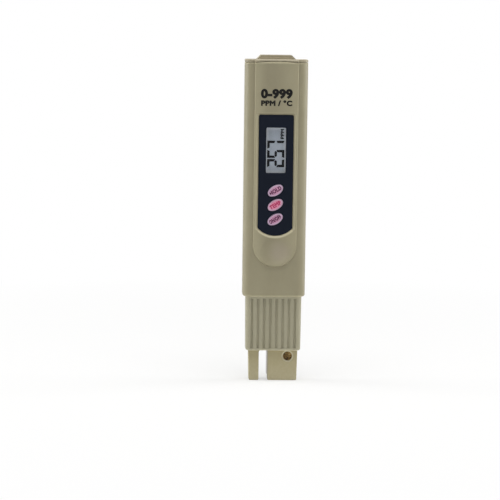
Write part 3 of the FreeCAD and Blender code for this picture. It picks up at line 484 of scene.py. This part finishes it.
def display_glass():
    finish = Finish("display glass")
    matt = finish.noise(0.10 * MM, 1.0)
    clouds = finish.noise(5 * MM, 2.0)
    low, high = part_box("display_window")
    from_middle = finish.shifted((low + high) / 2)
    spot = finish.node("ShaderNodeSeparateXYZ", sockets={0: from_middle})
    aside = finish.maths("ABSOLUTE", Wire(finish, spot.outputs["X"]), 0.0) - 3.2 * MM
    upward = finish.maths("ABSOLUTE", Wire(finish, spot.outputs["Z"]), 0.0) - 9.2 * MM
    # painted highlight: the glass is made lighter towards its edges, against the shade of its well
    rim = (finish.maths("MAXIMUM", aside, upward) / (1.6 * MM)).held()
    plain = finish.shaded(tint(181, 191, 204), 0.95, 1.04, (0.7 * clouds + 0.3 * matt).held())
    base = finish.mix(rim, plain, tint(236, 242, 250))
    return finish.surface(Base_Color=base, Roughness=0.42 + 0.1 * (matt - 0.5),
                          Normal=finish.bump(matt, 0.004 * MM, 0.4))


def segment_ink():
    finish = Finish("lit segment")
    stipple = finish.noise(0.15 * MM, 1.0)
    return finish.surface(Base_Color=finish.shaded(tint(6, 6, 9), 0.8, 1.3, stipple),
                          Roughness=0.45 + 0.1 * (stipple - 0.5), Specular_IOR_Level=0.1)


panel_sheet = printed_sheet()
lens_clear = clear_lens()
lcd_grey = display_glass()
lit_ink = segment_ink()
print("display finishes are ready")

# %% [markdown]
# ## Metals, rubber and resin
#
# The electrodes are thin titanium strips with fine lines along their length. Plated steel serves the cells,
# the contacts and the crystal's can. The sensor sits in brown casting resin that shines and is mottled
# where it cured round the bead.

# %% Metals, rubber and resin
def drawn_metal(name, colour, roughness, direction=(0.04, 1.0, 0.04)):
    """A metal with fine lines across the way in which the stretch is small."""
    finish = Finish(name)
    lines = finish.noise(0.05 * MM, 2.0, finish.shifted((0, 0, 0), direction))
    stain = finish.noise(2.5 * MM, 3.0)
    base = finish.shaded(colour, 0.78, 1.12, (0.5 * lines + 0.5 * stain).held())
    rough = roughness + 0.16 * (lines - 0.5) + 0.12 * (stain - 0.5)
    return finish.surface(Base_Color=base, Metallic=1.0, Roughness=rough,
                          Normal=finish.bump(lines, 0.004 * MM, 0.35))


def plain_moulding(name, colour, roughness, grain_size=0.2 * MM):
    """Rubber, compound or resin board: fine grain and soft clouds."""
    finish = Finish(name)
    grain = finish.noise(grain_size, 2.0)
    clouds = finish.noise(2 * MM, 2.0)
    base = finish.shaded(colour, 0.85, 1.15, (0.5 * grain + 0.5 * clouds).held())
    return finish.surface(Base_Color=base, Roughness=roughness + 0.12 * (grain - 0.5),
                          Normal=finish.bump(grain, 0.01 * MM, 0.4))


def casting_resin():
    finish = Finish("casting resin")
    swirl = finish.noise(1.1 * MM, 4.0)
    bubbles = finish.noise(0.35 * MM, 1.0)
    ramp = finish.wire("ShaderNodeValToRGB", sockets={0: (1.3 * swirl + 0.9 * bubbles - 0.62).held()},
                       stops=[(0.2, tint(50, 36, 14)), (0.5, tint(108, 84, 42)), (0.85, tint(176, 148, 96))])
    return finish.surface(Base_Color=ramp, Roughness=0.42 + 0.2 * bubbles, Specular_IOR_Level=0.2,
                          Normal=finish.bump(0.6 * swirl + 0.4 * bubbles, 0.06 * MM, 0.5))


titanium = drawn_metal("titanium strip", (0.46, 0.44, 0.41), 0.34, (1.0, 1.0, 0.04))
plated_steel = drawn_metal("plated steel", (0.62, 0.62, 0.60), 0.26)
tinned_wire = drawn_metal("tinned wire", (0.66, 0.66, 0.66), 0.32, (1.0, 1.0, 0.05))
bare_brass = drawn_metal("bare brass", (0.72, 0.54, 0.24), 0.28)
sensor_brown = casting_resin()
black_rubber = plain_moulding("black rubber", (0.028, 0.028, 0.03), 0.62)
black_compound = plain_moulding("black compound", (0.020, 0.020, 0.022), 0.48)
white_moulding = plain_moulding("white moulding", (0.72, 0.72, 0.69), 0.5)
trimmer_blue = plain_moulding("trimmer blue", (0.03, 0.12, 0.42), 0.35)
potting = plain_moulding("potting compound", (0.05, 0.035, 0.02), 0.3, 0.6 * MM)
print("made", len(bpy.data.materials), "materials so far")

# %% [markdown]
# ## The board and the display's rubber strips
#
# Under the case lie a green circuit board and two rubber strips that join the display to it. The board's
# copper shows through its varnish as slightly lighter tracks. The strips are stacks of thin dark and pale
# layers, one layer to each track, so their finish is a row of stripes along the strip.

# %% Board and strips
def board_varnish():
    finish = Finish("board varnish")
    across = finish.wire("ShaderNodeTexWave", output=1, settings={"bands_direction": "X"},
                         sockets={"Vector": finish.place(), "Scale": 250.0, "Distortion": 0.6, "Detail": 1.0})
    regions = finish.noise(7 * MM, 1.0)
    tracks = ((across - 0.55) * 9.0).held() * ((regions - 0.45) * 12.0).held()
    base = finish.mix(tracks, (0.012, 0.085, 0.030), (0.035, 0.160, 0.060))
    return finish.surface(Base_Color=base, Roughness=0.25 + 0.1 * regions,
                          Normal=finish.bump(tracks, 0.03 * MM, 0.5))


def striped_rubber():
    finish = Finish("striped contact rubber")
    stripes = finish.wire("ShaderNodeTexWave", output=1, settings={"bands_direction": "Z"},
                          sockets={"Vector": finish.place(), "Scale": 1600.0, "Distortion": 0.0})
    base = finish.mix(((stripes - 0.5) * 6.0).held(), (0.03, 0.03, 0.03), (0.55, 0.42, 0.40))
    return finish.surface(Base_Color=base, Roughness=0.6 + 0.1 * stripes)


board_green = board_varnish()
contact_rubber = striped_rubber()
print("board finishes are ready")

# %% [markdown]
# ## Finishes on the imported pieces
#
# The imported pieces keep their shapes. Each only gets its finish, by filling its material slots.

# %% Assign the finishes
finish_of = {
    "front_case": case_plastic, "rear_case": case_plastic, "battery_cap": cap_plastic,
    "pocket_clip": cap_plastic, "probe_head": head_plastic, "panel_overlay": panel_sheet,
    "lcd_glass": lcd_grey, "lcd_frame": white_moulding, "contact_strips": contact_rubber,
    "key_switches": black_compound, "main_board": board_green, "board_screws": plated_steel,
    "controller_chip": black_compound, "crystal": plated_steel, "board_components": black_compound,
    "trimmer_body": trimmer_blue, "trimmer_rotor": bare_brass, "button_cells": plated_steel,
    "battery_holder": white_moulding, "front_contact": plated_steel, "rear_contact": plated_steel,
    "head_seal": black_rubber, "left_electrode": titanium, "right_electrode": titanium,
    "electrode_leads": tinned_wire, "temperature_sensor": black_compound, "sensor_resin": sensor_brown,
    "head_potting": potting, "hold_plunger": black_compound, "temp_plunger": black_compound,
    "power_plunger": black_compound, "display_window": lens_clear,
}
for node_name, material in finish_of.items():
    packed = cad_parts[node_name].data
    packed.materials.clear()
    packed.materials.append(material)
print("finished", len(finish_of), "of", len(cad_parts), "packed pieces")

# %% [markdown]
# ## Making a piece
#
# Every new piece ends as a plain mesh whose object sits at the origin, with its place in its mesh. One
# helper does that, gives the piece its finish and says which body it moves with.

# %% Piece helper
def add_piece(name, mesh, material, body, smooth=True):
    """Links a finished mesh, gives it one material and lets it ride on a body."""
    mesh.materials.clear()
    mesh.materials.append(material)
    for polygon in mesh.polygons:
        polygon.use_smooth = smooth
        polygon.material_index = 0
    piece = bpy.data.objects.new(name, mesh)
    bpy.context.collection.objects.link(piece)
    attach(piece, body)
    mesh.calc_loop_triangles()
    print(name, "rides on", body, "with", len(mesh.loop_triangles), "triangles")
    return piece


# %% [markdown]
# ## The lens
#
# The lens is a clear plate with a soft front edge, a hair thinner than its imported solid, so that its back
# doesn't lie in the same plane as the display's glass. It is drawn as a rounded rectangle, thickened, and
# its front edge is bevelled.

# %% Lens
lens_low, lens_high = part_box("display_window")
lens_corner = 1.4 * MM
lens_back_gap = 0.06 * MM
lens_bevel = 0.15 * MM


def rounded_rectangle(low_x, high_x, low_z, high_z, radius, steps=8):
    """Points round a rectangle with round corners, anticlockwise as seen from the front."""
    corners = [(high_x - radius, low_z + radius, -90), (high_x - radius, high_z - radius, 0),
               (low_x + radius, high_z - radius, 90), (low_x + radius, low_z + radius, 180)]
    points = []
    for x, z, start in corners:
        for step in range(steps + 1):
            angle = math.radians(start + 90 * step / steps)
            points.append((x + radius * math.cos(angle), z + radius * math.sin(angle)))
    return points


def plate(points, front_y, back_y):
    """A closed plate whose face looks forwards, as a bmesh."""
    made = bmesh.new()
    front = [made.verts.new((x, front_y, z)) for x, z in points]
    back = [made.verts.new((x, back_y, z)) for x, z in points]
    made.faces.new(front)
    made.faces.new(back[::-1])
    for index in range(len(points)):
        following = (index + 1) % len(points)
        made.faces.new((front[following], front[index], back[index], back[following]))
    return made


lens_shape = plate(rounded_rectangle(lens_low.x, lens_high.x, lens_low.z, lens_high.z, lens_corner),
                   lens_low.y, lens_high.y - lens_back_gap)
front_edges = [edge for edge in lens_shape.edges
               if all(abs(v.co.y - lens_low.y) < 1e-7 for v in edge.verts)]
bmesh.ops.bevel(lens_shape, geom=front_edges, offset=lens_bevel, segments=3, affect="EDGES")
bmesh.ops.recalc_face_normals(lens_shape, faces=lens_shape.faces)
lens_mesh = bpy.data.meshes.new("lens")
lens_shape.to_mesh(lens_mesh)
lens_shape.free()
lens = add_piece("display_lens", lens_mesh, lens_clear, "tester_body", smooth=False)
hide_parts("display_window")

# %% [markdown]
# ## Lit segments
#
# A number on such a display is made of bars, seven to a digit. The middle bar is pointed at both ends; the
# outer bars are longest on their outer side, and their ends slope inwards, so that they meet at the
# corners. One Geometry Nodes tree makes all of them: its Lean input goes from pointed at 0 to sloped at 1.
# It sets a bar on a point for each one that is lit, and the points carry the turn of their bar. The display
# is mounted sideways: numbers read from the bottom up.

# %% Geometry Nodes tree for segments
def tree_with(name, sizes):
    """An empty geometry tree with one named input for each size, and its first and last nodes."""
    tree = bpy.data.node_groups.new(name, "GeometryNodeTree")
    tree.interface.new_socket("Points", in_out="INPUT", socket_type="NodeSocketGeometry")
    for size in sizes:
        tree.interface.new_socket(size, in_out="INPUT", socket_type="NodeSocketFloat")
    tree.interface.new_socket("Finish", in_out="INPUT", socket_type="NodeSocketMaterial")
    tree.interface.new_socket("Geometry", in_out="OUTPUT", socket_type="NodeSocketGeometry")
    return tree, tree.nodes.new("NodeGroupInput"), tree.nodes.new("NodeGroupOutput")


def add_to(tree, kind, settings=None, sockets=None):
    """Adds a node to a geometry tree; a socket's value may be another node's output."""
    made = tree.nodes.new(kind)
    for setting, value in (settings or {}).items():
        setattr(made, setting, value)
    for socket, value in (sockets or {}).items():
        if isinstance(value, bpy.types.NodeSocket):
            tree.links.new(value, made.inputs[socket])
        else:
            made.inputs[socket].default_value = value
    return made


def add_sum(tree, operation, first, second):
    return add_to(tree, "ShaderNodeMath", {"operation": operation}, {0: first, 1: second}).outputs[0]


end_slope = 0.45


def segment_tree():
    """A bar on every point, turned as the point says; Lean 0 points its ends, Lean 1 slopes them."""
    names = ("Length", "Width", "Thickness", "Lean")
    tree, inlet, outlet = tree_with("lit segments", names)
    length, width, thickness, lean = (inlet.outputs[name] for name in names)
    hexagon = add_to(tree, "GeometryNodeMeshCircle", {"fill_type": "NGON"}, {"Vertices": 6, "Radius": 1.0})
    here = add_to(tree, "GeometryNodeInputPosition").outputs[0]
    spot = add_to(tree, "ShaderNodeSeparateXYZ", sockets={0: here})
    side = add_sum(tree, "SIGN", spot.outputs[0], 0.0)
    upper = add_sum(tree, "MULTIPLY", spot.outputs[1], 1 / math.sin(math.pi / 3))
    pointed = add_sum(tree, "SUBTRACT", 0.0, add_sum(tree, "ABSOLUTE", upper, 0.0))
    sloped = add_sum(tree, "MULTIPLY", add_sum(tree, "SUBTRACT", upper, 1.0), end_slope)
    change = add_sum(tree, "MULTIPLY", lean, add_sum(tree, "SUBTRACT", sloped, pointed))
    blend = add_sum(tree, "ADD", pointed, change)
    half_width = add_sum(tree, "MULTIPLY", width, 0.5)
    tip = add_sum(tree, "MULTIPLY", blend, half_width)
    reach = add_sum(tree, "ADD", add_sum(tree, "MULTIPLY", length, 0.5), tip)
    along = add_sum(tree, "MULTIPLY", side, reach)
    over = add_sum(tree, "MULTIPLY", upper, half_width)
    moved = add_to(tree, "ShaderNodeCombineXYZ", sockets={0: along, 1: over})
    bar = add_to(tree, "GeometryNodeSetPosition", sockets={
        "Geometry": hexagon.outputs[0], "Position": moved.outputs[0]})
    raised = add_to(tree, "GeometryNodeExtrudeMesh", sockets={
        "Mesh": bar.outputs[0], "Offset Scale": thickness})
    underside = add_to(tree, "GeometryNodeFlipFaces", sockets={"Mesh": bar.outputs[0]})
    joined = add_to(tree, "GeometryNodeJoinGeometry")
    tree.links.new(raised.outputs[0], joined.inputs[0])
    tree.links.new(underside.outputs[0], joined.inputs[0])
    closed = add_to(tree, "GeometryNodeMergeByDistance", sockets={
        "Geometry": joined.outputs[0], "Distance": 1e-6})
    turn = add_to(tree, "GeometryNodeInputNamedAttribute", {"data_type": "FLOAT"}, {"Name": "turn"})
    turned = add_to(tree, "FunctionNodeAxisAngleToRotation", sockets={
        "Axis": (0, 0, 1), "Angle": turn.outputs[0]})
    bars = add_to(tree, "GeometryNodeInstanceOnPoints", sockets={
        "Points": inlet.outputs["Points"], "Instance": closed.outputs[0], "Rotation": turned.outputs[0]})
    real = add_to(tree, "GeometryNodeRealizeInstances", sockets={"Geometry": bars.outputs[0]})
    inked = add_to(tree, "GeometryNodeSetMaterial", sockets={
        "Geometry": real.outputs[0], "Material": inlet.outputs["Finish"]})
    tree.links.new(inked.outputs[0], outlet.inputs[0])
    return tree


print("segment tree has", len(segment_tree().nodes), "nodes")

# %% Run a tree on points
def grown(name, tree, points, turns, sizes, material):
    """Runs a tree on a row of points, and returns the result as a plain mesh."""
    seeds = bpy.data.meshes.new(name + " points")
    seeds.from_pydata(points, [], [])
    seeds.attributes.new("turn", "FLOAT", "POINT").data.foreach_set("value", turns)
    holder = bpy.data.objects.new(name + " holder", seeds)
    bpy.context.collection.objects.link(holder)
    modifier = holder.modifiers.new("grow", "NODES")
    modifier.node_group = tree
    for item in tree.interface.items_tree:
        if item.in_out == "INPUT" and item.name in sizes:
            modifier[item.identifier] = sizes[item.name]
        if item.in_out == "INPUT" and item.name == "Finish":
            modifier[item.identifier] = material
    ready = holder.evaluated_get(bpy.context.evaluated_depsgraph_get())
    mesh = bpy.data.meshes.new_from_object(ready)
    mesh.name = name
    bpy.data.objects.remove(holder)
    return mesh


# %% Number on the display
segment_places = {
    "a": (0, 1, 0), "g": (0, 0, 0), "d": (0, -1, 180),
    "f": (-1, 0.5, 90), "b": (1, 0.5, 270), "e": (-1, -0.5, 90), "c": (1, -0.5, 270),
}
lit_for = {"2": "abged", "5": "afgcd", "7": "abc"}
reading = "257"
bar_width = 1.15 * MM
bar_gap = 0.5 * MM
digit_width = 3.80 * MM
half_digit = 4.05 * MM
digit_pitch = 4.32 * MM
window_low, window_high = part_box("display_window")
window_z = (window_low.z + window_high.z) / 2
reading_centre_z = window_z - 1.8 * MM

display_low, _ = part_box("lcd_glass")
ink_gap = 0.004 * MM
ink_back = display_low.y - ink_gap
bars = {"upright": [], "level": [], "middle": []}
for place, digit in enumerate(reading):
    centre = (place - (len(reading) - 1) / 2) * digit_pitch
    for letter in lit_for[digit]:
        across, up, turn = segment_places[letter]
        kind = "middle" if letter == "g" else "level" if turn in (0, 180) else "upright"
        aside = across * (digit_width - bar_width) / 2
        if kind == "upright":
            height = up * (half_digit + bar_gap / 2)
        else:
            height = up * (half_digit - bar_width / 2)
        bars[kind].append(((centre + aside, height, 0), math.radians(turn)))

# %% Grow the bars and join them
sideways = Matrix(((0, -1, 0, 0), (0, 0, -1, 0), (1, 0, 0, 0), (0, 0, 0, 1)))
bar_shapes = {  # length, thickness in mm and lean; no two kinds have their faces in one plane
    "upright": (half_digit - bar_gap / 2, 0.030, 1.0),
    "level": (digit_width, 0.034, 1.0),
    "middle": (digit_width - 0.7 * bar_width, 0.026, 0.0),
}
parts = []
for kind, (length, thickness, lean) in bar_shapes.items():
    spots, angles = zip(*bars[kind])
    sizes = {"Length": length, "Width": bar_width, "Thickness": thickness * MM, "Lean": lean}
    parts.append(grown(kind + " bars", segment_tree(), spots, angles, sizes, lit_ink))
gathered = bmesh.new()
for part in parts:
    gathered.from_mesh(part)
number_mesh = bpy.data.meshes.new("display number")
gathered.to_mesh(number_mesh)
gathered.free()
number_mesh.transform(Matrix.Translation((0, ink_back, reading_centre_z)) @ sideways)
add_piece("display_number", number_mesh, lit_ink, "tester_body", smooth=False)

# %% [markdown]
# ## Lettering
#
# Print is very thin, so letters are set as text, made a mesh, and then fitted to the height and width of
# their place. Only plain words and units are used: a range of numbers with two units above the display, a
# unit on the display, and what each key does. Bold swells the letters, and spacing then keeps them apart.

# %% Lettering tool
letter_thickness = 0.02 * MM


def lettering(name, words, centre, width, height, material, body, turn=0.0, frame_turn=None,
              bold=0.0, spacing=1.0):
    """Thin raised letters that face forwards, centred on a point, as wide and tall as given."""
    text = bpy.data.curves.new(name, "FONT")
    text.body = words
    text.align_x, text.align_y = "CENTER", "CENTER"
    text.bevel_depth = bold
    text.space_character = spacing
    text.resolution_u = 4
    text.extrude = 0.01
    holder = bpy.data.objects.new(name + " text", text)
    bpy.context.collection.objects.link(holder)
    mesh = bpy.data.meshes.new_from_object(holder.evaluated_get(bpy.context.evaluated_depsgraph_get()))
    bpy.data.objects.remove(holder)
    xs = [v.co.x for v in mesh.vertices]
    ys = [v.co.y for v in mesh.vertices]
    zs = [v.co.z for v in mesh.vertices]
    scale = Matrix.Diagonal((width / (max(xs) - min(xs)), height / (max(ys) - min(ys)),
                             letter_thickness / (max(zs) - min(zs)), 1))
    to_middle = Matrix.Translation((-(max(xs) + min(xs)) / 2, -(max(ys) + min(ys)) / 2, -min(zs)))
    spin = Matrix.Rotation(math.radians(turn), 4, "Z")
    facing = frame_turn or Matrix.Rotation(math.radians(90), 4, "X")
    mesh.transform(Matrix.Translation(centre) @ facing @ spin @ scale @ to_middle)
    mesh.name = name
    return add_piece(name, mesh, material, body, smooth=False)


# %% Unit on the display
lettering("display_unit", "PPM", (2.95 * MM, ink_back, window_z + 7.6 * MM), 4.7 * MM, 1.6 * MM, lit_ink,
          "tester_body", frame_turn=sideways, bold=0.055, spacing=1.12)

# %% [markdown]
# ## Print above the display
#
# The flat of the tongue above the display carries two lines of black print: a range of numbers, and two
# units in smaller letters under it. The ink is a little glossier
# than the plastic, and slightly thin in places, as pad printing is.

# %% Print
def pad_ink(name, colour):
    finish = Finish(name)
    thin = finish.noise(0.3 * MM, 3.0)
    clouds = finish.noise(1.5 * MM, 1.0)
    base = finish.shaded(colour, 0.75, 1.35, (0.5 * thin + 0.5 * clouds).held())
    return finish.surface(Base_Color=base, Roughness=0.48 + 0.15 * (thin - 0.5), Specular_IOR_Level=0.12)


black_ink = pad_ink("black print", tint(14, 14, 13))
tongue_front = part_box("front_case")[0].y
print_sink = 0.008 * MM
print_y = tongue_front + print_sink
sheet_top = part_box("panel_overlay")[1].z
lettering("range_print", "0-999", (0, print_y, sheet_top + 9.8 * MM), 14.9 * MM, 4.7 * MM, black_ink,
          "tester_body", bold=0.065, spacing=1.08)
lettering("unit_print", "PPM / °C", (0, print_y, sheet_top + 5.5 * MM), 14.6 * MM, 2.75 * MM, black_ink,
          "tester_body", bold=0.06, spacing=1.08)

# %% [markdown]
# ## Soft keys
#
# A key is a tilted oval of soft pink plastic with a paler lilac rim. Its top is built as rings, from the
# centre out, so that the shallow dish, the step up to the rim and the rounded edge are real shape. The
# rings also give every point a place in the oval from 0 at the centre to 1 at the edge, kept as the piece's
# own UV map, and the finish blends its colours by that distance.

# %% Key finish
def key_finish(name, centre_colour, rim_colour):
    finish = Finish(name)
    spot = finish.wire("ShaderNodeUVMap", settings={"uv_map": "oval"})
    reach = finish.wire("ShaderNodeVectorMath", output=1, settings={"operation": "DISTANCE"},
                        sockets={0: spot, 1: (0.5, 0.5, 0.0)}) * 2.0
    grain = finish.noise(0.12 * MM, 2.0)
    clouds = finish.noise(1.6 * MM, 2.0)
    edge = ((reach + 0.10 * (clouds - 0.5) - 0.62) * 4.0).held()
    centre = finish.shaded(centre_colour, 0.90, 1.10, clouds)
    rim = finish.shaded(rim_colour, 0.94, 1.06, clouds)
    return finish.surface(Base_Color=finish.mix(edge, centre, rim), Roughness=0.40 + 0.14 * (grain - 0.5),
                          Normal=finish.bump(grain, 0.008 * MM, 0.4))


pink_key = key_finish("pink key", tint(194, 138, 170), tint(198, 170, 196))
rose_key = key_finish("rose key", tint(222, 134, 164), tint(204, 168, 192))
plum_ink = pad_ink("plum print", tint(66, 18, 50))
red_ink = pad_ink("dark rose print", tint(172, 50, 92))
print("key finishes are ready")

# %% Key tops
key_major = 7.8 * MM
key_minor = 4.6 * MM
key_tilt = math.radians(31)
key_back_gap = 0.7 * MM
# each ring's share of the way to the edge, and how many mm it lies behind the highest ring
key_profile = [(0.0, 0.10), (0.25, 0.10), (0.5, 0.11), (0.68, 0.13), (0.76, 0.13), (0.80, 0.06),
               (0.85, 0.0), (0.90, 0.005), (0.94, 0.05), (0.97, 0.14), (0.99, 0.26), (1.0, 0.42)]


def oval_key(name, node, material, around=72):
    """A dished oval cap with a raised rim, closed behind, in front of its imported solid's flange."""
    low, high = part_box(node)
    centre_x, centre_z = (low.x + high.x) / 2, (low.z + high.z) / 2
    made = bmesh.new()
    uv = made.loops.layers.uv.new("oval")
    place_in_oval = {}

    def ring(share, y):
        verts = []
        for step in range(around):
            angle = 2 * math.pi * step / around
            a, b = share * key_major / 2 * math.cos(angle), share * key_minor / 2 * math.sin(angle)
            x = centre_x + a * math.cos(key_tilt) - b * math.sin(key_tilt)
            z = centre_z + a * math.sin(key_tilt) + b * math.cos(key_tilt)
            vert = made.verts.new((x, y, z))
            place_in_oval[vert] = (0.5 + 0.5 * share * math.cos(angle), 0.5 + 0.5 * share * math.sin(angle))
            verts.append(vert)
        return verts

    def cap(y, rim, outward):
        centre = made.verts.new((centre_x, y, centre_z))
        place_in_oval[centre] = (0.5, 0.5)
        for index in range(around):
            pair = (rim[index], rim[(index + 1) % around])
            made.faces.new((centre, *(pair if outward else pair[::-1])))

    rings = [ring(share, low.y + drop * MM) for share, drop in key_profile[1:]]
    rings.append(ring(1.0, high.y - key_back_gap))
    for inner, outer in zip(rings, rings[1:]):
        for index in range(around):
            following = (index + 1) % around
            made.faces.new((inner[index], outer[index], outer[following], inner[following]))
    cap(low.y + key_profile[0][1] * MM, rings[0], True)
    cap(high.y - key_back_gap, rings[-1], False)
    for face in made.faces:
        for loop in face.loops:
            loop[uv].uv = place_in_oval[loop.vert]
    bmesh.ops.recalc_face_normals(made, faces=made.faces)
    mesh = bpy.data.meshes.new(name)
    made.to_mesh(mesh)
    made.free()
    piece = add_piece(name, mesh, material, node + "_body")
    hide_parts(node)
    return centre_x, low.y, centre_z


word_height = 2.0 * MM
for node, material, words, ink, width in (("hold_key", pink_key, "HOLD", plum_ink, 6.1 * MM),
                                          ("temp_key", rose_key, "TEMP", red_ink, 6.0 * MM),
                                          ("power_key", pink_key, "ON/OFF", plum_ink, 6.3 * MM)):
    key_x, key_y, key_z = oval_key(node + "_top", node, material)
    word_place = (key_x, key_y + key_profile[0][1] * MM, key_z)
    lettering(node + "_print", words, word_place, width, word_height, ink, node + "_body",
              turn=math.degrees(key_tilt), bold=0.045, spacing=1.08)
